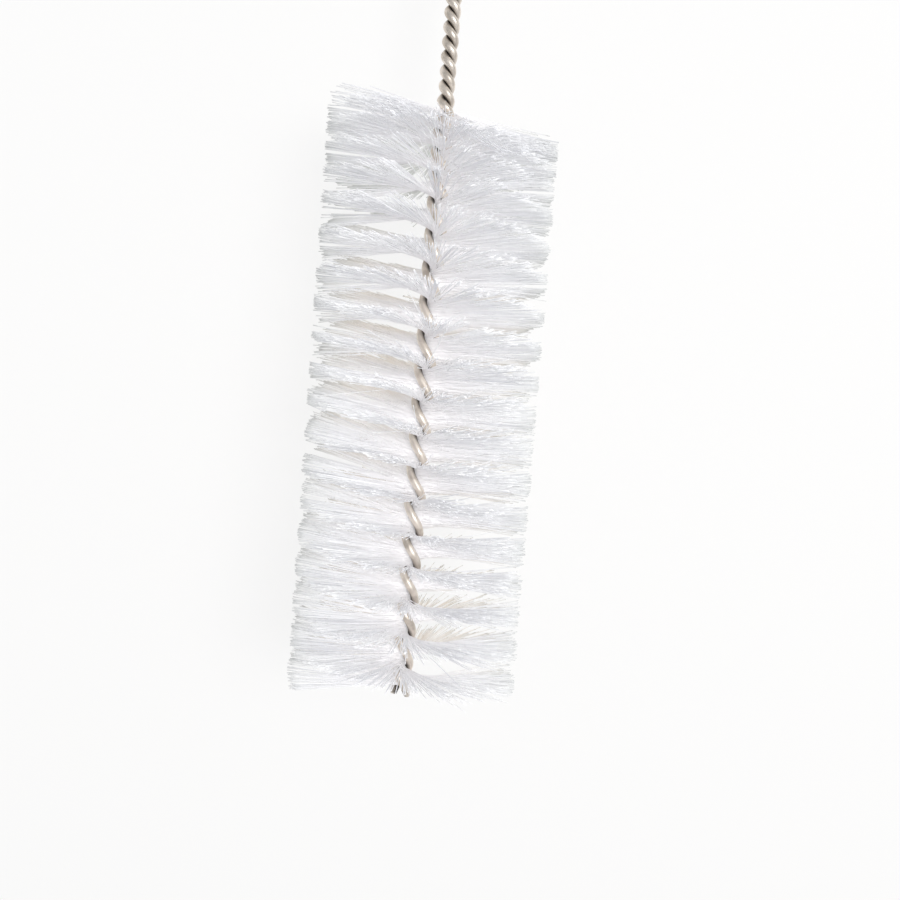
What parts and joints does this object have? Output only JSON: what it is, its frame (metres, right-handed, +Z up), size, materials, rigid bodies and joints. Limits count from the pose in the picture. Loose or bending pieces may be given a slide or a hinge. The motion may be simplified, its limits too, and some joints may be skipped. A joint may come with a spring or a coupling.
{
  "type": "bottle brush",
  "caption": "Twisted-wire bottle brush with a cylindrical head of white nylon bristles, a bare twisted stem and a hanging eye.",
  "frame": {"origin": "middle of the brush's footprint on the surface that it lies on", "axes": "+Z up, +Y from the tip of the bristle head toward the hanging eye, +X across the brush. The brush lies on its side, on the stem end of its bristle head and on its hanging eye, so its own axis dips toward the eye by about 6.6 degrees."},
  "size_m": [0.0448, 0.295, 0.0561],
  "materials": {
    "wire": "satin",
    "bristles": "satin"
  },
  "bodies": {
    "root": {"wire": "wire", "bristle_row_01": "bristles", "bristle_row_02": "bristles", "bristle_row_03": "bristles", "bristle_row_04": "bristles", "bristle_row_05": "bristles", "bristle_row_06": "bristles", "bristle_row_07": "bristles", "bristle_row_08": "bristles", "bristle_row_09": "bristles", "bristle_row_10": "bristles", "bristle_row_11": "bristles", "bristle_row_12": "bristles", "bristle_row_13": "bristles", "bristle_row_14": "bristles", "bristle_row_15": "bristles", "bristle_row_16": "bristles", "bristle_row_17": "bristles", "bristle_row_18": "bristles", "bristle_row_19": "bristles"}
  },
  "joints": []
}
